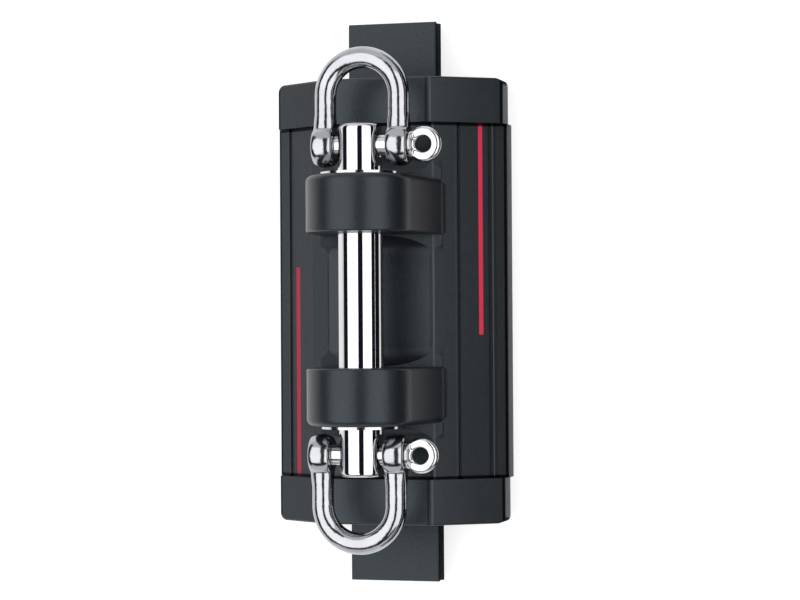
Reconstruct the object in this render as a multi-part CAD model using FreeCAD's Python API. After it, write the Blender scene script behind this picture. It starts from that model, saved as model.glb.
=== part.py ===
import FreeCAD, Part
import math
import os

# A car for a spinnaker pole, riding on a short length of mast track.
# Millimetres. The track's back lies on Z = 0, Z points away from the mast,
# Y runs along the track and X across it. Upper pieces are at +Y, left ones at -X.

# The track
track_length = 165.0
track_width = 27.0
track_height = 10.0
track_flange_thickness = 5.7
track_foot_width = 23.7
track_lip = 0.6
track_hole_spacing = 100.0
track_hole_radius = 3.3
track_hole_head_radius = 6.4

# The balls and the loops that they run in
ball_diameter = 6.35
ball_count = 36
ball_side_offset = 2.45
ball_drop = 2.85
race_gap = 0.125
return_gap = 0.325
turn_radius = 4.75

# The car's section, from the track outwards
car_side_gap = 0.8
car_top_gap = 1.0
car_back_gap = 1.3
ceiling_corner = 1.0
crown_thickness = 13.3
side_wall = 6.0
side_depth = 6.3
side_undercut = 3.5
side_drop = 13.2
panel_margin = 3.95
panel_width = 8.85
panel_sink = 0.55
panel_edge_round = 0.25
plateau_round = 1.6
edge_round = 0.9
body_length = 103.2

# The lugs that carry the pole pin
lug_gap = 38.2
lug_thickness = 16.2
lug_radius = 15.4
lug_draft = 7.1
lug_toe = 6.0
lug_toe_slope = 20.0
lug_foot_round = 3.0
lug_outer_round = 2.0
lug_inner_round = 0.6
plateau_margin = 0.25
pin_height = 20.3

# The pole pin, its bushes and washers
pin_diameter = 12.7
pin_length = 99.4
pin_end_round = 1.3
pin_flat_width = 11.1
pin_flat_length = 12.0
cross_hole_countersink = 0.7
bush_wall = 1.65
bush_gap = 0.05
bush_seat_gap = 0.02
washer_diameter = 22.5
washer_thickness = 0.8
washer_gap = 0.15

# The shackles
shackle_reach = 28.1
shackle_rod = 6.2
shackle_width = 27.6
shackle_mouth = 15.8
upper_shackle_shift = 0.65
lower_shackle_shift = -0.7
shackle_ear_diameter = 12.0
shackle_pin_diameter = 6.0
shackle_pin_gap = 0.05
cross_hole_gap = 0.1
cross_hole_inset = 6.1
ear_neck_length = 9.0
ear_neck_swell = 1.25
collar_diameter = 7.6
collar_thickness = 1.1
ring_diameter = 10.2
ring_hole_diameter = 4.7
ring_thickness = 3.2
ring_edge_round = 1.2
ring_stand_off = 4.3
ring_neck_diameter = 6.6
ring_neck_length = 3.0

# The end caps and their screws
cap_length = 13.2
cap_rise = 2.15
cap_flat_trim = 0.35
cap_side_trim = 0.6
cap_corner_rise = 2.5
cap_side_depth = 6.9
cap_side_undercut = 3.5
cap_track_gap = 1.1
cap_top_gap = 1.3
cap_back_gap = 1.6
cap_plan_round = 2.3
cap_edge_round = 0.7
screw_diameter = 4.0
screw_length = 20.0
screw_head_diameter = 8.0
screw_head_gap = 0.05
screw_hole_gap = 0.2
screw_thread_gap = 0.02
screw_tail_gap = 1.0
screw_socket_width = 2.5
screw_socket_depth = 1.6
screw_inner_x = 8.0
screw_inner_height = 7.0
screw_outer_x = 20.5
screw_outer_height = 3.4

# Places that follow from the sizes
ball_radius = ball_diameter / 2
race_radius = ball_radius + race_gap
return_radius = ball_radius + return_gap
race_x = track_width / 2 + ball_side_offset
race_z = track_height - ball_drop
turn_x = race_x + turn_radius
return_x = race_x + 2 * turn_radius

wall_x = track_width / 2 + car_side_gap
ceiling_z = track_height + car_top_gap
plateau_z = ceiling_z + crown_thickness
plateau_x = lug_radius + plateau_margin
corner_z = plateau_z - side_drop
corner_x = return_x + return_radius + side_wall
side_slope = side_drop / (corner_x - plateau_x)
panel_outer_x = corner_x - panel_margin
panel_inner_x = panel_outer_x - panel_width
body_end = body_length / 2

pin_radius = pin_diameter / 2
pin_z = plateau_z + pin_height
lug_inner_y = lug_gap / 2
lug_outer_y = lug_inner_y + lug_thickness
bush_radius = pin_radius + bush_gap + bush_wall
shackle_y = pin_length / 2 - cross_hole_inset
cross_hole_radius = shackle_pin_diameter / 2 + cross_hole_gap
ear_thickness = (shackle_width - shackle_mouth) / 2
cap_end = body_end + cap_length

tall = 200.0
touching = 1e-4
sides = (("left", -1), ("right", 1))
ends = (("upper", 1), ("lower", -1))


def vector(x, y, z):
    return FreeCAD.Vector(x, y, z)


def rounded_corner(before, corner, after, radius):
    # the arc that rounds a corner of an outline: its start, a point on it and its end
    back = (before - corner).normalize()
    on = (after - corner).normalize()
    half_angle = back.getAngle(on) / 2
    run = radius / math.tan(half_angle)
    middle = (back + on).normalize()
    centre_distance = radius / math.sin(half_angle)
    return corner + back * run, corner + middle * (centre_distance - radius), corner + on * run


def outline(corners, place):
    # a closed face from corners (a, b, radius), where place turns (a, b) into a point
    points = [place(corner[0], corner[1]) for corner in corners]
    arcs = []
    for i, corner in enumerate(corners):
        after = points[(i + 1) % len(points)]
        if corner[2] > 0:
            arcs.append(rounded_corner(points[i - 1], points[i], after, corner[2]))
        else:
            arcs.append((points[i], None, points[i]))
    edges = []
    for i, (start, middle, end) in enumerate(arcs):
        if middle:
            edges.append(Part.Arc(start, middle, end).toShape())
        following = arcs[(i + 1) % len(arcs)][0]
        if end.distanceToPoint(following) > touching:
            edges.append(Part.makeLine(end, following))
    return Part.Face(Part.Wire(edges))


def across(corners, y_from, y_to):
    # a section in X and Z, drawn along the track
    face = outline(corners, lambda x, z: vector(x, y_from, z))
    return face.extrude(vector(0, y_to - y_from, 0))


def mirrored(half):
    # the right half of a section, from the centre line round to the centre line, made whole
    inner = [corner for corner in half if corner[0] > 0]
    return inner + [(-x, z, radius) for x, z, radius in reversed(inner)]


def meeting(z_at_zero, slope, point, point_slope):
    # where the line z = z_at_zero + slope x meets the line through point
    x = (point[1] - point_slope * point[0] - z_at_zero) / (slope - point_slope)
    return x, z_at_zero + slope * x


def side_point(x, sink=0.0):
    # a point on the car's sloping side, or sunk square into it
    lean = math.atan(side_slope)
    z = plateau_z - side_slope * (x - plateau_x)
    return x - sink * math.sin(lean), z - sink * math.cos(lean)


def rod(radius, start, end):
    return Part.makeCylinder(radius, start.distanceToPoint(end), start, end - start)


def flipped(shape, side):
    # the same shape at the other end of the track when side is -1
    return shape if side > 0 else shape.mirror(vector(0, 0, 0), vector(0, 1, 0))


def save(name, shape):
    if not shape.isValid():
        print("not valid:", name)
    shape.exportStep("parts/" + name + ".step")
    print(name, len(shape.Solids), round(shape.Volume, 1))


def running_rods(x, radius, half_length):
    # a rod on each side of the track, at the height of the balls, to cut a race or a bore
    return [
        rod(radius, vector(side * x, -half_length, race_z), vector(side * x, half_length, race_z))
        for _, side in sides
    ]


def track_section():
    half_width, half_foot = track_width / 2, track_foot_width / 2
    flange_z = track_height - track_flange_thickness
    profile = mirrored([
        (half_width, track_height, track_lip),
        (half_width, flange_z, 0),
        (half_foot, flange_z, 0),
        (half_foot, 0, 0),
    ])
    half_length = track_length / 2
    track = across(profile, -half_length, half_length)
    track = track.cut(running_rods(race_x, race_radius, half_length))
    head_depth = track_hole_head_radius - track_hole_radius
    for y in (-track_hole_spacing / 2, track_hole_spacing / 2):
        track = track.cut(rod(track_hole_radius, vector(0, y, 0), vector(0, y, track_height)))
        sink = Part.makeCone(
            track_hole_radius, track_hole_head_radius, head_depth, vector(0, y, track_height - head_depth)
        )
        track = track.cut(sink)
    return track.removeSplitter()


def lug():
    # one lug, at the upper end, with its toes and its bore
    draft = math.tan(math.radians(lug_draft))
    apex_z = pin_z + lug_radius / math.sin(math.radians(lug_draft))
    foot_x, foot_z = meeting(apex_z, -1 / draft, (plateau_x, plateau_z), -side_slope)
    root_x, root_z = side_point((foot_x + panel_inner_x) / 2)
    profile = [
        (0, apex_z, lug_radius),
        (foot_x, foot_z, lug_foot_round),
        (root_x, root_z, 0),
        (root_x, corner_z, 0),
        (-root_x, corner_z, 0),
        (-root_x, root_z, 0),
        (-foot_x, foot_z, lug_foot_round),
    ]
    block = across(profile, lug_inner_y, lug_outer_y)
    for y, radius in ((lug_outer_y, lug_outer_round), (lug_inner_y, lug_inner_round)):
        rim = [edge for edge in block.Edges if on_rim(edge, y, root_z)]
        block = block.makeFillet(radius, rim)
    roof_slope = math.tan(math.radians(lug_toe_slope))
    roof = [(0, plateau_z + roof_slope * plateau_x, 0)] + mirrored([
        (foot_x, plateau_z - roof_slope * (foot_x - plateau_x), 0),
        (foot_x, corner_z, 0),
    ])
    for face_y, away in ((lug_inner_y, -1), (lug_outer_y, 1)):
        for piece in toe(face_y, away):
            block = block.fuse(piece.common(across(roof, 0, tall)))
    bore = rod(bush_radius + bush_seat_gap, vector(0, lug_inner_y, pin_z), vector(0, lug_outer_y, pin_z))
    return block.cut(bore)


def on_rim(edge, y, lowest_z):
    # whether an edge lies in the plane at y and reaches no lower than lowest_z
    box = edge.BoundBox
    flat = abs(box.YMin - y) < touching and abs(box.YMax - y) < touching
    return flat and box.ZMin > lowest_z - touching and box.ZMax > lowest_z + touching


def toe(face_y, away):
    # the hollow-faced fillet between a lug's face and the body: over the plateau and down both sides
    foot_y = face_y + away * lug_toe
    quarter = lug_toe * (1 - math.sin(math.radians(45)))
    top = vector(0, face_y, plateau_z + lug_toe)
    foot = vector(0, foot_y, plateau_z)
    middle = vector(0, face_y + away * quarter, plateau_z + quarter)
    corners = [foot, vector(0, foot_y, corner_z), vector(0, face_y, corner_z), top]
    edges = [Part.makeLine(a, b) for a, b in zip(corners, corners[1:])]
    edges.append(Part.Arc(top, middle, foot).toShape())
    face = Part.Face(Part.Wire(edges))
    pieces = [face.translated(vector(-plateau_x, 0, 0)).extrude(vector(2 * plateau_x, 0, 0))]
    for _, side in sides:
        reach = corner_x - plateau_x
        outer = face.translated(vector(side * plateau_x, 0, 0))
        pieces.append(outer.extrude(vector(side * reach, 0, -side_slope * reach)))
    return pieces


def car_body():
    inner_x, inner_z = side_point(panel_inner_x)
    floor_z = inner_z - panel_sink * math.hypot(1, side_slope)
    profile = mirrored([
        (plateau_x, plateau_z, plateau_round),
        (inner_x, inner_z, panel_edge_round),
        (inner_x, floor_z, 0),
        (*side_point(panel_outer_x, panel_sink), 0),
        (*side_point(panel_outer_x), panel_edge_round),
        (corner_x, corner_z, edge_round),
        (corner_x, corner_z - side_depth, edge_round),
        (corner_x - side_undercut, car_back_gap, edge_round),
        (wall_x, car_back_gap, 0),
        (wall_x, ceiling_z, ceiling_corner),
    ])
    body = across(profile, -body_end, body_end)
    upper_lug = lug()
    body = body.fuse([upper_lug, flipped(upper_lug, -1)])
    body = body.cut(running_rods(race_x, race_radius, body_end))
    body = body.cut(running_rods(return_x, return_radius, body_end))
    depth = screw_length - cap_length + screw_tail_gap
    for x, z in screw_places():
        for _, end in ends:
            mouth = vector(x, end * body_end, z)
            hole = rod(screw_diameter / 2 + screw_thread_gap, mouth, mouth - vector(0, end * depth, 0))
            body = body.cut(hole)
    return body.removeSplitter()


def screw_places():
    inner = (screw_inner_x, ceiling_z + screw_inner_height)
    outer = (screw_outer_x, ceiling_z + screw_outer_height)
    return [(-outer[0], outer[1]), (-inner[0], inner[1]), inner, outer]


def end_cap():
    # the upper cap
    top_z = plateau_z + cap_rise
    side_x = corner_x - cap_side_trim
    side_z = corner_z + cap_corner_rise
    profile = mirrored([
        (plateau_x - cap_flat_trim, top_z, cap_edge_round),
        (side_x, side_z, cap_edge_round),
        (side_x, side_z - cap_side_depth, cap_edge_round),
        (side_x - cap_side_undercut, cap_back_gap, cap_edge_round),
        (track_width / 2 + cap_track_gap, cap_back_gap, 0),
        (track_width / 2 + cap_track_gap, track_height + cap_top_gap, ceiling_corner),
    ])
    cap = across(profile, body_end, cap_end)
    plan = [
        (-side_x, body_end, 0),
        (side_x, body_end, 0),
        (side_x, cap_end, cap_plan_round),
        (-side_x, cap_end, cap_plan_round),
    ]
    cap = cap.common(outline(plan, lambda x, y: vector(x, y, 0)).extrude(vector(0, 0, tall)))
    cap = cap.makeFillet(cap_edge_round, [edge for edge in cap.Edges if on_rim(edge, cap_end, side_z)])
    for _, side in sides:
        turn = Part.makeTorus(turn_radius, return_radius, vector(side * turn_x, body_end, race_z))
        cap = cap.cut(turn)
    for x, z in screw_places():
        face = vector(x, cap_end, z)
        cap = cap.cut(rod(screw_diameter / 2 + screw_hole_gap, vector(x, body_end, z), face))
        cap = cap.cut(screw_head(face, screw_head_gap))
    return cap.removeSplitter()


def screw_head(face, gap):
    # a countersunk head with its flat top at face, grown by gap
    radius = screw_head_diameter / 2 + gap
    neck = screw_diameter / 2 + gap
    return Part.makeCone(neck, radius, radius - neck, face - vector(0, radius - neck, 0), vector(0, 1, 0))


def cap_screw(x, z):
    # one screw of the upper cap, its head flush with the cap's end
    face = vector(x, cap_end, z)
    shank_top = face - vector(0, (screw_head_diameter - screw_diameter) / 2, 0)
    shank = rod(screw_diameter / 2, shank_top, face - vector(0, screw_length, 0))
    screw = screw_head(face, 0).fuse(shank)
    socket_radius = screw_socket_width / math.sqrt(3)
    corners = [math.radians(60 * i) for i in range(7)]
    ring = [face + vector(math.cos(turn), 0, math.sin(turn)) * socket_radius for turn in corners]
    socket = Part.Face(Part.makePolygon(ring)).extrude(vector(0, -screw_socket_depth, 0))
    return screw.cut(socket).removeSplitter()


def ball_train(side):
    # the balls spaced evenly round one loop, starting at the middle of the load race
    straight = body_length
    bend = math.pi * turn_radius
    loop = 2 * (straight + bend)
    balls = []
    for i in range(ball_count):
        run = (i * loop / ball_count + straight / 2) % loop
        second_half = run >= loop / 2
        run = run % (loop / 2)
        if run < straight:
            x, y = -turn_radius, run - straight / 2
        else:
            angle = (run - straight) / turn_radius
            x, y = -turn_radius * math.cos(angle), straight / 2 + turn_radius * math.sin(angle)
        if second_half:
            x, y = -x, -y
        balls.append(Part.makeSphere(ball_radius, vector(side * (turn_x + x), y, race_z)))
    return Part.makeCompound(balls)


def bush():
    inner, outer = vector(0, lug_inner_y, pin_z), vector(0, lug_outer_y, pin_z)
    return rod(bush_radius, inner, outer).cut(rod(pin_radius + bush_gap, inner, outer))


def thrust_washer():
    inner, outer = vector(0, lug_outer_y, pin_z), vector(0, lug_outer_y + washer_thickness, pin_z)
    return rod(washer_diameter / 2, inner, outer).cut(rod(pin_radius + washer_gap, inner, outer))


def pole_pin():
    half = pin_length / 2
    pin = rod(pin_radius, vector(0, -half, pin_z), vector(0, half, pin_z))
    pin = pin.makeFillet(pin_end_round, [edge for edge in pin.Edges if edge.BoundBox.YLength < touching])
    flat_x = pin_flat_width / 2
    for _, end in ends:
        inner_y, outer_y = sorted((end * (half - pin_flat_length), end * half))
        for _, side in sides:
            corner_x_low = min(side * flat_x, side * pin_radius)
            slab = Part.makeBox(
                pin_radius - flat_x, outer_y - inner_y, pin_diameter,
                vector(corner_x_low, inner_y, pin_z - pin_radius),
            )
            pin = pin.cut(slab)
            mouth = vector(side * flat_x, end * shackle_y, pin_z)
            sink = Part.makeCone(
                cross_hole_radius + cross_hole_countersink, cross_hole_radius, cross_hole_countersink,
                mouth, vector(-side, 0, 0),
            )
            pin = pin.cut(sink)
        left, right = (vector(side * pin_radius, end * shackle_y, pin_z) for _, side in sides)
        pin = pin.cut(rod(cross_hole_radius, left, right))
    return pin.removeSplitter()


def shackle_bow():
    # the upper shackle, lying in line with the pole pin
    rod_radius = shackle_rod / 2
    leg_x = shackle_width / 2 - rod_radius
    bend_y = shackle_y + shackle_reach - rod_radius - leg_x
    bend = Part.makeTorus(leg_x, rod_radius, vector(0, bend_y, pin_z), vector(0, 0, 1), 0, 360)
    keep = Part.makeBox(tall, tall, tall, vector(-tall / 2, bend_y, pin_z - tall / 2))
    bow = bend.common(keep)
    ear_radius = shackle_ear_diameter / 2
    ear_x = (shackle_mouth + shackle_width) / 4
    flat_at = math.degrees(math.asin(ear_thickness / 2 / ear_radius))
    for _, side in sides:
        leg = rod(rod_radius, vector(side * leg_x, shackle_y, pin_z), vector(side * leg_x, bend_y, pin_z))
        neck = Part.makeCone(
            rod_radius + ear_neck_swell, rod_radius, ear_neck_length,
            vector(side * leg_x, shackle_y, pin_z), vector(0, 1, 0),
        )
        low_x = min(side * shackle_mouth / 2, side * shackle_width / 2)
        slab = Part.makeBox(
            ear_thickness, tall, tall, vector(low_x, shackle_y - tall / 2, pin_z - tall / 2)
        )
        ear = Part.makeSphere(
            ear_radius, vector(side * ear_x, shackle_y, pin_z), vector(1, 0, 0), -flat_at, flat_at, 360
        )
        bow = bow.fuse([leg.common(slab), neck.common(slab), ear])
    hole = rod(
        shackle_pin_diameter / 2 + shackle_pin_gap,
        vector(-shackle_width, shackle_y, pin_z), vector(shackle_width, shackle_y, pin_z),
    )
    return bow.cut(hole).removeSplitter()


def shackle_pin():
    # the upper screw pin, with its ring head on the right
    radius = shackle_pin_diameter / 2
    collar_x = shackle_width / 2
    ring_x = collar_x + ring_stand_off
    shaft = rod(radius, vector(-collar_x, shackle_y, pin_z), vector(collar_x, shackle_y, pin_z))
    collar = rod(
        collar_diameter / 2, vector(collar_x, shackle_y, pin_z),
        vector(collar_x + collar_thickness, shackle_y, pin_z),
    )
    pin = shaft.fuse([collar, ring_head(collar_x, ring_x)])
    low, high = (vector(ring_x, shackle_y, pin_z + way * ring_neck_diameter) for way in (-1, 1))
    return pin.cut(rod(ring_hole_diameter / 2, low, high)).removeSplitter()


def ring_head(collar_x, ring_x):
    # the flattened head: a disc with rounded rims, carried by a neck that tapers out of the collar
    centre, rise = vector(ring_x, shackle_y, pin_z), vector(0, 0, ring_thickness / 2)
    disc = rod(ring_diameter / 2, centre - rise, centre + rise)
    rims = [edge for edge in disc.Edges if edge.BoundBox.ZLength < touching]
    neck = Part.makeCone(
        ring_neck_diameter / 2, ring_thickness / 2, ring_neck_length,
        vector(collar_x, shackle_y, pin_z), vector(1, 0, 0),
    )
    return disc.makeFillet(ring_edge_round, rims).fuse(neck)


os.makedirs("parts", exist_ok=True)
save("track_section", track_section())
save("car_body", car_body())
for side_name, side in sides:
    save("ball_train_" + side_name, ball_train(side))
for end_name, end in ends:
    save("end_cap_" + end_name, flipped(end_cap(), end))
    for number, (x, z) in enumerate(screw_places(), 1):
        save("cap_screw_" + end_name + "_" + str(number), flipped(cap_screw(x, z), end))
    save("lug_bush_" + end_name, flipped(bush(), end))
    save("thrust_washer_" + end_name, flipped(thrust_washer(), end))
    shift = vector(upper_shackle_shift if end > 0 else lower_shackle_shift, 0, 0)
    save("shackle_bow_" + end_name, flipped(shackle_bow(), end).translated(shift))
    save("shackle_pin_" + end_name, flipped(shackle_pin(), end).translated(shift))
save("pole_pin", pole_pin())
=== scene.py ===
import bpy
import bmesh
import math
from mathutils import Matrix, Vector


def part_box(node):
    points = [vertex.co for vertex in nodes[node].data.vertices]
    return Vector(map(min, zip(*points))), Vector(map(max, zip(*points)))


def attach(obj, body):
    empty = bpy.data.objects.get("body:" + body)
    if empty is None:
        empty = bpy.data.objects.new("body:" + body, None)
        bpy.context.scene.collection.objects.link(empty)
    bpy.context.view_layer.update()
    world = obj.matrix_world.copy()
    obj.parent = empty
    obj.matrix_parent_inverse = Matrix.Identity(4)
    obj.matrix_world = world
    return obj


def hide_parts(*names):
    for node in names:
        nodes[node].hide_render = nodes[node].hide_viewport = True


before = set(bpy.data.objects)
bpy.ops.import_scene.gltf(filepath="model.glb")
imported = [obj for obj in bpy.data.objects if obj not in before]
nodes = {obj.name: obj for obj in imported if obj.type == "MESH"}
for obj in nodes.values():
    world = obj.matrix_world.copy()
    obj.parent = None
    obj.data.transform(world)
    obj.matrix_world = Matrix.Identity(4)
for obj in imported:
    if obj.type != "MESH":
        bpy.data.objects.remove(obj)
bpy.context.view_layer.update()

mm = 0.001


# Shader maths

class Value:
    # a socket that can stand in a sum
    def __init__(self, graph, socket):
        self.graph = graph
        self.socket = socket

    def maths(self, operation, first, second=0.0, clamp=False):
        settings = {"operation": operation, "use_clamp": clamp}
        return self.graph.node("ShaderNodeMath", settings, {0: first, 1: second})

    def __add__(self, other):
        return self.maths("ADD", self, other)

    def __radd__(self, other):
        return self.maths("ADD", other, self)

    def __sub__(self, other):
        return self.maths("SUBTRACT", self, other)

    def __rsub__(self, other):
        return self.maths("SUBTRACT", other, self)

    def __mul__(self, other):
        return self.maths("MULTIPLY", self, other)

    def __rmul__(self, other):
        return self.maths("MULTIPLY", other, self)

    def __truediv__(self, other):
        return self.maths("DIVIDE", self, other)

    def __gt__(self, other):
        return self.maths("GREATER_THAN", self, other)

    def __lt__(self, other):
        return self.maths("LESS_THAN", self, other)

    def __abs__(self):
        return self.maths("ABSOLUTE", self)

    def limited(self):
        return self.maths("ADD", self, 0.0, clamp=True)


class Graph:
    # a node tree, of a material or of the world
    def __init__(self, tree):
        self.tree = tree

    def node(self, kind, settings=None, inputs=None, output=0):
        made = self.tree.nodes.new(kind)
        for key, value in (settings or {}).items():
            setattr(made, key, value)
        for key, value in (inputs or {}).items():
            self.join(value, made.inputs[key])
        return Value(self, made.outputs[output])

    def join(self, value, socket):
        if isinstance(value, Value):
            self.tree.links.new(value.socket, socket)
        else:
            socket.default_value = value

    def backgroundRays(self):
        # the rays that show the background itself: seen, mirrored or through glass
        rays = self.node("ShaderNodeLightPath").socket.node.outputs
        camera, glossy, through = (
            Value(self, rays[name]) for name in ("Is Camera Ray", "Is Glossy Ray", "Is Transmission Ray")
        )
        return (camera + glossy + through).limited()


class Finish(Graph):
    # one material, with its principled shader ready
    def __init__(self, name, **fixed):
        self.material = bpy.data.materials.new(name)
        self.material.use_nodes = True
        super().__init__(self.material.node_tree)
        self.shader = self.tree.nodes["Principled BSDF"]
        for socket, value in fixed.items():
            self.shader.inputs[socket.replace("_", " ")].default_value = value

    def coordinates(self):
        return self.node("ShaderNodeTexCoord", output="Object")

    def axes(self):
        split = self.node("ShaderNodeSeparateXYZ", inputs={0: self.coordinates()})
        return (Value(self, part) for part in split.socket.node.outputs)

    def stretched(self, x, y, z):
        # object coordinates scaled along each axis
        return self.node("ShaderNodeMapping", inputs={"Vector": self.coordinates(), "Scale": (x, y, z)})

    def noise(self, where, scale, detail=3.0, roughness=0.5):
        values = {"Vector": where, "Scale": scale, "Detail": detail, "Roughness": roughness}
        return self.node("ShaderNodeTexNoise", inputs=values, output="Fac")

    def varied(self, scale, detail):
        # noise about zero
        return self.noise(self.coordinates(), scale, detail) - 0.5

    def mixed(self, mask, first, second):
        # a colour between two, by a mask
        return self.node("ShaderNodeMix", {"data_type": "RGBA"}, {0: mask, 6: first, 7: second}, output=2)

    def bump(self, height, distance, strength=1.0, below=None):
        values = {"Height": height, "Distance": distance, "Strength": strength}
        if below:
            values["Normal"] = below
        return self.node("ShaderNodeBump", inputs=values)

    def feed(self, **links):
        for socket, value in links.items():
            self.join(value, self.shader.inputs[socket.replace("_", " ")])
        return self.material


def paint(material, *names):
    for name in names:
        slots = nodes[name].data.materials
        slots.clear()
        slots.append(material)


def meshPiece(name, bm, material):
    mesh = bpy.data.meshes.new(name)
    bm.to_mesh(mesh)
    bm.free()
    mesh.materials.append(material)
    piece = bpy.data.objects.new(name, mesh)
    bpy.context.collection.objects.link(piece)
    return piece


# Black anodised aluminium

anodised = {
    "body": (0.008, 0.010, 0.013, 1.0),
    "bodyPale": (0.013, 0.015, 0.018, 1.0),
    "bodySheen": 0.5,
    "track": (0.012, 0.014, 0.017, 1.0),
    "trackPale": (0.020, 0.023, 0.027, 1.0),
    "trackSheen": 0.4,
    "sheenTint": (0.80, 0.92, 1.0, 1.0),
    "cloudScale": 90.0,
    "lineScale": 2600.0,
    "lineStretch": 0.04,
    "grainScale": 5200.0,
    "shade": {"cloud": 0.4, "lines": 0.3, "mottle": 2.6, "mean": 0.5},
    "roughness": {"mean": 0.36, "cloud": 0.08, "grain": 0.16},
    "bump": {"lines": 0.8, "height": 0.011 * mm, "strength": 0.6},
    "mottleBump": {"height": 0.06 * mm, "strength": 0.7},
}

# the slight unevenness of a bead-blasted or moulded surface
mottleScale = 1000.0

stripes = {
    "rightColour": (0.90, 0.005, 0.068, 1.0),
    "leftColour": (0.68, 0.004, 0.066, 1.0),
    "x": 27.88 * mm,
    "rightWidth": 1.08 * mm,
    "leftWidth": 1.4 * mm,
    "rightEnd": -9.9 * mm,
    "leftEnd": 10.3 * mm,
    "lowestZ": 12.0 * mm,
}


def anodisedFinish(name, kind):
    finish = Finish(
        name, Specular_IOR_Level=anodised[kind + "Sheen"], Specular_Tint=anodised["sheenTint"]
    )
    shade, rough, bump = anodised["shade"], anodised["roughness"], anodised["bump"]
    drawn = finish.stretched(1.0, anodised["lineStretch"], 1.0)
    cloud = finish.varied(anodised["cloudScale"], 2.0)
    lines = finish.noise(drawn, anodised["lineScale"], 2.0)
    grain = finish.varied(anodised["grainScale"], 1.0)
    mottle = finish.varied(mottleScale, 2.0)
    tone = cloud * shade["cloud"] + (lines - 0.5) * shade["lines"] + mottle * shade["mottle"]
    colour = finish.mixed((tone + shade["mean"]).limited(), anodised[kind], anodised[kind + "Pale"])
    under = anodised["mottleBump"]
    finish.feed(
        Base_Color=colour,
        Roughness=cloud * rough["cloud"] + grain * rough["grain"] + rough["mean"],
        Normal=finish.bump(
            grain + lines * bump["lines"], bump["height"], bump["strength"],
            finish.bump(mottle, under["height"], under["strength"]),
        ),
    )
    return finish, colour


def paintStripes(finish, colour):
    # a red line printed along each side panel
    x, y, z = finish.axes()
    right = (abs(x - stripes["x"]) < stripes["rightWidth"] / 2) * (y > stripes["rightEnd"])
    left = (abs(x + stripes["x"]) < stripes["leftWidth"] / 2) * (y < stripes["leftEnd"])
    visible = z > stripes["lowestZ"]
    colour = finish.mixed(right * visible, colour, stripes["rightColour"])
    return finish.mixed(left * visible, colour, stripes["leftColour"])


# fine lines along the creases, each with its place in x, half its width and its strength:
# pale ones are painted highlights along the edges, dark ones are painted shade where hardly any light
# falls
creases = {
    "paintedHighlightColour": (0.062, 0.066, 0.072, 1.0),
    "paintedShadeColour": (0.0, 0.0, 0.0, 1.0),
    "patchScale": 700.0,
    "patchStretch": 0.2,
    "patchRange": 0.8,
    "patchLeast": 0.5,
    "slope": 0.685,
    "jointShadowStrength": 0.85,
    "body": {
        "lowestZ": 10.6 * mm,
        "highestZ": 24.4 * mm,
        "planeHeight": 35.2 * mm,
        "jointY": 50.75 * mm,
        "paintedHighlight": (
            (15.9 * mm, 0.28 * mm, 1.25),
            (21.6 * mm, 0.25 * mm, 0.2),
            (31.0 * mm, 0.28 * mm, 1.2),
            (-31.0 * mm, 0.28 * mm, 0.5),
            # the left band, a little paler all over: painted light
            (-26.6 * mm, 4.1 * mm, 0.2),
        ),
        "dark": (
            (15.0 * mm, 0.25 * mm, 0.3),
            (22.38 * mm, 0.32 * mm, 0.45),
            (30.08 * mm, 0.28 * mm, 0.45),
            (31.8 * mm, 0.25 * mm, 0.25),
            (34.45 * mm, 0.35 * mm, 0.85),
            (-34.45 * mm, 0.35 * mm, 0.85),
        ),
    },
    "cap": {
        "lowestZ": 12.6 * mm,
        "highestZ": 26.6 * mm,
        "planeHeight": 60.0 * mm,
        "jointY": 100.0 * mm,
        "paintedHighlight": ((15.7 * mm, 0.28 * mm, 0.9),),
        "dark": (
            (14.5 * mm, 0.3 * mm, 0.5),
            (33.9 * mm, 0.33 * mm, 0.85),
            (-33.9 * mm, 0.33 * mm, 0.85),
        ),
    },
    "track": {
        "lowestZ": 1.0 * mm,
        "highestZ": 30.0 * mm,
        "planeHeight": 60.0 * mm,
        "jointY": 100.0 * mm,
        "paintedHighlight": (),
        "dark": ((13.6 * mm, 0.25 * mm, 0.6), (-13.6 * mm, 0.25 * mm, 0.6)),
    },
}


def creaseLines(finish, colour, kind, printed=None):
    place = creases[kind]
    x, y, z = finish.axes()
    onPlanes = (z < place["highestZ"]) * (abs(x) * creases["slope"] + z < place["planeHeight"])
    visible = onPlanes * (z > place["lowestZ"])
    masks = {"paintedHighlight": 0.0, "dark": 0.0}
    for tone in masks:
        for centre, halfWidth, strength in place[tone]:
            masks[tone] = (abs(x - centre) < halfWidth) * strength + masks[tone]
    along = finish.stretched(1.0, creases["patchStretch"], 1.0)
    patches = finish.noise(along, creases["patchScale"], 3.0)
    patchy = patches * creases["patchRange"] + creases["patchLeast"]
    # pale lines painted as the highlights along the edges, patchy along their length
    paintedHighlight = (masks["paintedHighlight"] * patchy * visible).limited()
    # painted shadow: the end of the body under each cap is darkened as the shade of the cap's edge
    jointShadow = (abs(y) > place["jointY"]) * (z > place["lowestZ"]) * creases["jointShadowStrength"]
    dark = (masks["dark"] * visible + jointShadow).limited()
    colour = finish.mixed(paintedHighlight, colour, creases["paintedHighlightColour"])
    if printed:
        colour = printed(finish, colour)
    # painted shade, black and metallic, so that it stays dark under any light
    finish.feed(Base_Color=finish.mixed(dark, colour, creases["paintedShadeColour"]), Metallic=dark)


bodyFinish, bodyColour = anodisedFinish("blackAnodisedBody", "body")
creaseLines(bodyFinish, bodyColour, "body", paintStripes)
trackFinish, trackColour = anodisedFinish("darkAnodisedTrack", "track")
creaseLines(trackFinish, trackColour, "track")
paint(bodyFinish.material, "car_body")
paint(trackFinish.material, "track_section")
print("anodised parts finished")


# Moulded plastic

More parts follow.
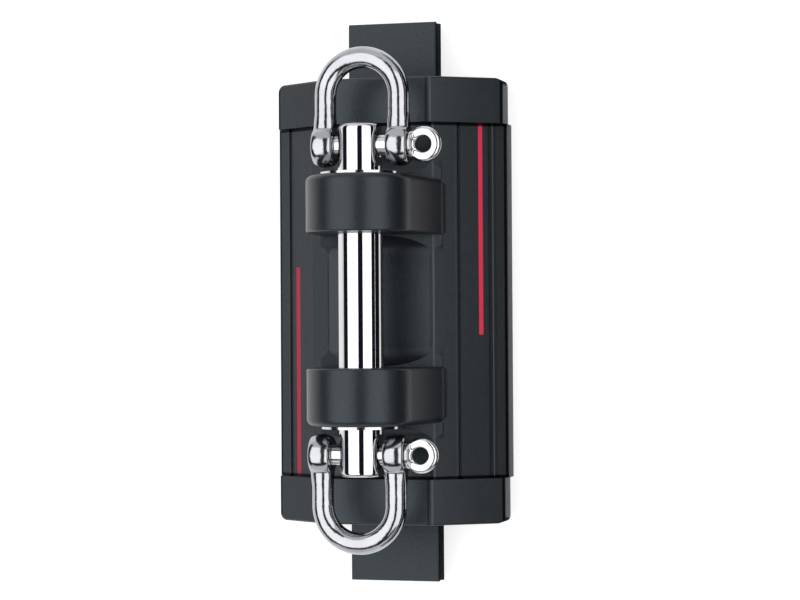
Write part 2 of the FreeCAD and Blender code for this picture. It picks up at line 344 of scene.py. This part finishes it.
moulded = {
    "sheen": 0.55,
    "sheenTint": (0.80, 0.92, 1.0, 1.0),
    "cloudScale": 140.0,
    "grainScale": 3400.0,
    "shade": {"cloud": 0.5, "mottle": 2.6, "mean": 0.5},
    "roughnessRange": 0.1,
    "grainStrength": 0.5,
    "mottleHeight": 5.0,
    "mottleStrength": 0.7,
    "cap": {
        "dark": (0.007, 0.009, 0.012, 1.0),
        "pale": (0.012, 0.014, 0.017, 1.0),
        "roughness": 0.34,
        "grainHeight": 0.012 * mm,
    },
    "ball": {
        "dark": (0.36, 0.26, 0.09, 1.0),
        "pale": (0.46, 0.36, 0.15, 1.0),
        "roughness": 0.28,
        "grainHeight": 0.004 * mm,
    },
    "bush": {
        "dark": (0.030, 0.030, 0.032, 1.0),
        "pale": (0.042, 0.042, 0.045, 1.0),
        "roughness": 0.45,
        "grainHeight": 0.006 * mm,
    },
}


def mouldedFinish(name, kind):
    look, shade = moulded[kind], moulded["shade"]
    finish = Finish(name, Specular_IOR_Level=moulded["sheen"], Specular_Tint=moulded["sheenTint"])
    cloud = finish.varied(moulded["cloudScale"], 2.0)
    grain = finish.varied(moulded["grainScale"], 2.0)
    mottle = finish.varied(mottleScale, 2.0)
    tone = cloud * shade["cloud"] + mottle * shade["mottle"] + shade["mean"]
    colour = finish.mixed(tone.limited(), look["dark"], look["pale"])
    height = look["grainHeight"]
    under = finish.bump(mottle, height * moulded["mottleHeight"], moulded["mottleStrength"])
    finish.feed(
        Base_Color=colour,
        Roughness=cloud * moulded["roughnessRange"] + look["roughness"],
        Normal=finish.bump(grain, height, moulded["grainStrength"], under),
    )
    if kind in creases:
        creaseLines(finish, colour, kind)
    return finish.material


paint(mouldedFinish("mouldedCap", "cap"), "end_cap_upper", "end_cap_lower")
paint(mouldedFinish("loadBalls", "ball"), "ball_train_left", "ball_train_right")
paint(mouldedFinish("bushPlastic", "bush"), "lug_bush_upper", "lug_bush_lower")
print("moulded parts finished")


# Stainless steel

steel = {
    "drawn": ((0.62, 0.62, 0.64, 1.0), (0.54, 0.54, 0.56, 1.0)),
    "forged": ((0.45, 0.45, 0.47, 1.0), (0.32, 0.33, 0.35, 1.0)),
    "cloudScale": 160.0,
    "scratchScale": 3000.0,
    "scratchStrength": 0.3,
    "hollowScale": 420.0,
    "roughnessRange": 0.03,
    "pin": {"kind": "drawn", "roughness": 0.05, "scratch": 0.0006 * mm, "spread": (1.0, 0.1, 1.0)},
    "washer": {"kind": "drawn", "roughness": 0.12, "scratch": 0.002 * mm},
    "screw": {"kind": "drawn", "roughness": 0.25, "scratch": 0.004 * mm},
    "shackle": {"kind": "forged", "roughness": 0.16, "scratch": 0.002 * mm, "wave": 0.09 * mm},
    "shacklePin": {"kind": "drawn", "roughness": 0.16, "scratch": 0.002 * mm, "wave": 0.02 * mm},
}


def steelFinish(name, kind, roughness, scratch, spread=(1.0, 1.0, 1.0), wave=0.0):
    # wave is the depth of the shallow hollows that polishing leaves on a forging
    finish = Finish(name, Metallic=1.0)
    bright, dull = steel[kind]
    cloud = finish.noise(finish.coordinates(), steel["cloudScale"], 2.0)
    fine = finish.noise(finish.stretched(*spread), steel["scratchScale"], 2.0)
    normal = finish.bump(fine, scratch, steel["scratchStrength"])
    if wave:
        hollows = finish.noise(finish.coordinates(), steel["hollowScale"], 1.0)
        normal = finish.bump(hollows, wave, 1.0, normal)
    return finish.feed(
        Base_Color=finish.mixed(cloud, bright, dull),
        Roughness=(cloud + fine - 1.0) * steel["roughnessRange"] + roughness,
        Normal=normal,
    )


paint(steelFinish("polishedPin", **steel["pin"]), "pole_pin")
paint(steelFinish("washerSteel", **steel["washer"]), "thrust_washer_upper", "thrust_washer_lower")

forging = {
    "voxel": 0.24 * mm,
    "meltFactor": 0.5,
    "meltRounds": 14,
    "mergeDistance": 0.001 * mm,
}


def forgedCopy(name, node, body, material):
    # the solid's own form, with its creases blended into each other as a forging's are
    bm = bmesh.new()
    bm.from_mesh(nodes[node].data)
    bmesh.ops.remove_doubles(bm, verts=bm.verts, dist=forging["mergeDistance"])
    piece = meshPiece(name, bm, material)
    remesh = piece.modifiers.new("evenFaces", "REMESH")
    remesh.mode = "VOXEL"
    remesh.voxel_size = forging["voxel"]
    melt = piece.modifiers.new("melt", "SMOOTH")
    melt.factor = forging["meltFactor"]
    melt.iterations = forging["meltRounds"]
    evaluated = piece.evaluated_get(bpy.context.evaluated_depsgraph_get())
    rough = piece.data
    piece.data = bpy.data.meshes.new_from_object(evaluated)
    bpy.data.meshes.remove(rough)
    piece.modifiers.clear()
    piece.data.shade_smooth()
    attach(piece, body)
    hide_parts(node)


shackleSteel = steelFinish("polishedShackle", **steel["shackle"])
shacklePinSteel = steelFinish("shacklePinSteel", **steel["shacklePin"])
for end in ("upper", "lower"):
    body = end + "_shackle"
    forgedCopy(end + "Bow", "shackle_bow_" + end, body, shackleSteel)
    forgedCopy(end + "RingPin", "shackle_pin_" + end, body, shacklePinSteel)
print("shackles forged")

screwSteel = steelFinish("screwSteel", **steel["screw"])
for name in nodes:
    if name.startswith("cap_screw"):
        paint(screwSteel, name)
print("steel parts finished")


# Studio

cameraPlace = {
    "distance": 700.0 * mm,
    "targetZ": 10.0 * mm,
    "turn": 15.5,
    "tilt": 0.71,
    "roll": 0.35,
    "focalPixels": 2364.0,
    "sensorWidth": 36.0,
    "clipStart": 50.0 * mm,
    "imageWidth": 800.0,
    "imageHeight": 600.0,
    "centreX": 393.6,
    "centreY": 301.6,
}


def makeCamera():
    data = bpy.data.cameras.new("camera")
    camera = bpy.data.objects.new("camera", data)
    bpy.context.collection.objects.link(camera)
    width, height = cameraPlace["imageWidth"], cameraPlace["imageHeight"]
    data.sensor_width = cameraPlace["sensorWidth"]
    data.lens = data.sensor_width * cameraPlace["focalPixels"] / width
    data.clip_start = cameraPlace["clipStart"]
    data.shift_x = (width / 2 - cameraPlace["centreX"]) / width
    data.shift_y = (cameraPlace["centreY"] - height / 2) / width
    turn = Matrix.Rotation(math.radians(cameraPlace["turn"]), 4, "Y")
    tilt = Matrix.Rotation(math.radians(cameraPlace["tilt"]), 4, "X")
    roll = Matrix.Rotation(math.radians(-cameraPlace["roll"]), 4, "Z")
    back = Matrix.Translation((0, 0, cameraPlace["distance"]))
    target = Matrix.Translation((0, 0, cameraPlace["targetZ"]))
    camera.matrix_world = target @ turn @ tilt @ back @ roll
    bpy.context.scene.camera = camera


def aimed(turn, tip, distance):
    # a place that faces the pole pin, turned towards +X and tipped towards +Y from above it
    low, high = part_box("pole_pin")
    centre = Matrix.Translation((low + high) / 2)
    turned = Matrix.Rotation(math.radians(turn), 4, "Y")
    tipped = Matrix.Rotation(math.radians(-tip), 4, "X")
    return centre @ turned @ tipped @ Matrix.Translation((0, 0, distance))


lampRadiance = 1.2

lamps = {
    "leftBox": {"turn": -26.1, "tip": 0.0, "distance": 0.95, "width": 1.11, "height": 1.50},
    "rightBox": {"turn": 49.0, "tip": 0.0, "distance": 0.95, "width": 0.87, "height": 1.50},
}

cardColours = {
    "blackCard": (0.020, 0.026, 0.040, 1.0),
    "greyCard": (0.60, 0.61, 0.63, 1.0),
}

cards = {
    "cameraCard": {"turn": 14.5, "tip": 0.0, "distance": 0.70, "width": 0.30, "height": 1.4},
    "leftCard": {"turn": -68.0, "tip": 0.0, "distance": 0.95, "width": 0.45, "height": 1.9},
    "rightCard": {"turn": 82.0, "tip": 0.0, "distance": 0.95, "width": 0.29, "height": 1.9},
    "lowerCard": {"turn": 0.0, "tip": -54.0, "distance": 1.10, "width": 2.4, "height": 0.35},
}


def makeLamp(name, lamp):
    data = bpy.data.lights.new(name, "AREA")
    data.shape = "RECTANGLE"
    data.size, data.size_y = lamp["width"], lamp["height"]
    data.energy = lampRadiance * math.pi * lamp["width"] * lamp["height"]
    thing = bpy.data.objects.new(name, data)
    bpy.context.collection.objects.link(thing)
    thing.matrix_world = aimed(lamp["turn"], lamp["tip"], lamp["distance"])


def makeCard(name, width, height, place, material):
    bm = bmesh.new()
    bmesh.ops.create_grid(bm, x_segments=1, y_segments=1, size=0.5)
    bmesh.ops.scale(bm, vec=(width, height, 1.0), verts=bm.verts)
    piece = meshPiece(name, bm, material)
    piece.matrix_world = place
    piece.visible_camera = False
    piece.visible_shadow = False
    piece.visible_diffuse = False


# upright black slats on the right: they take some light off that side
slats = {
    "away": 56.0 * mm,
    "low": 17.0 * mm,
    "high": 61.5 * mm,
    "count": 5,
    "lowWidth": 7.8 * mm,
    "highWidth": 5.5 * mm,
    "length": 500.0 * mm,
}

# cloths on the floor, seen only in reflections: a black one right of the object, and painted shadow of
# the floor as a grey one beside the body and black ones close beside the track's ends
cloths = {
    # from x, to x, middle y, length along y
    "farCloth": (72.0 * mm, 600.0 * mm, 0.0, 1000.0 * mm),
    "nearShadowCloth": (36.5 * mm, 47.0 * mm, 0.0, 140.0 * mm),
    "upperTrackShadowCloth": (13.6 * mm, 72.0 * mm, 75.0 * mm, 20.0 * mm),
    "lowerTrackShadowCloth": (13.6 * mm, 72.0 * mm, -75.0 * mm, 20.0 * mm),
}
clothThickness = 0.3 * mm

# the floor glows a little more away from the object, where less of the lamps' light falls
roomLight = {
    "onObject": 0.12,
    "floorHalf": 6.0,
    "floorGlow": 0.66,
    "farGlow": 0.34,
    "glowFrom": 0.25,
    "glowTo": 1.6,
}


def makeSlats():
    pitch = (slats["high"] - slats["low"]) / slats["count"]
    turned = Matrix.Rotation(math.radians(-90.0), 4, "Y")
    for i in range(slats["count"]):
        share = i / (slats["count"] - 1)
        width = slats["lowWidth"] + (slats["highWidth"] - slats["lowWidth"]) * share
        place = Matrix.Translation((slats["away"], 0.0, slats["low"] + pitch * (i + 0.5))) @ turned
        makeCard("slat%d" % i, width, slats["length"], place, blackCard.material)


def makeFloor():
    black, pale, white = ((shade, shade, shade, 1.0) for shade in (0.0, 0.86, 1.0))
    finish = Finish("paleFloor", Base_Color=pale, Roughness=0.8, Specular_IOR_Level=0.0)
    where = {0: finish.coordinates()}
    away = finish.node("ShaderNodeVectorMath", {"operation": "LENGTH"}, where, output=1)
    spread = roomLight["glowTo"] - roomLight["glowFrom"]
    far = ((away - roomLight["glowFrom"]) / spread).limited()
    glow = (far * roomLight["farGlow"] + roomLight["floorGlow"]) * finish.backgroundRays()
    finish.feed(Emission_Color=finish.mixed(glow, black, white))
    finish.shader.inputs["Emission Strength"].default_value = 1.0
    bm = bmesh.new()
    bmesh.ops.create_grid(bm, x_segments=1, y_segments=1, size=roomLight["floorHalf"])
    meshPiece("floor", bm, finish.material)


def makeWorld():
    world = bpy.data.worlds.new("studio")
    world.use_nodes = True
    bpy.context.scene.world = world
    graph = Graph(world.node_tree)
    background = world.node_tree.nodes["Background"]
    background.inputs["Color"].default_value = (1.0, 1.0, 1.0, 1.0)
    dim = roomLight["onObject"]
    graph.join(dim + (1.0 - dim) * graph.backgroundRays(), background.inputs["Strength"])


blackCard, greyCard = (
    Finish(name, Base_Color=colour, Roughness=0.9, Specular_IOR_Level=0.0)
    for name, colour in cardColours.items()
)

makeCamera()
makeFloor()
makeWorld()
for name, lamp in lamps.items():
    makeLamp(name, lamp)
for name, card in cards.items():
    place = aimed(card["turn"], card["tip"], card["distance"])
    makeCard(name, card["width"], card["height"], place, blackCard.material)
makeSlats()
for name, (near, far, middle, length) in cloths.items():
    place = Matrix.Translation(((near + far) / 2, middle, clothThickness))
    colour = greyCard if name == "nearShadowCloth" else blackCard
    makeCard(name, far - near, length, place, colour.material)
bpy.context.scene.view_settings.view_transform = "Standard"
print("studio ready")
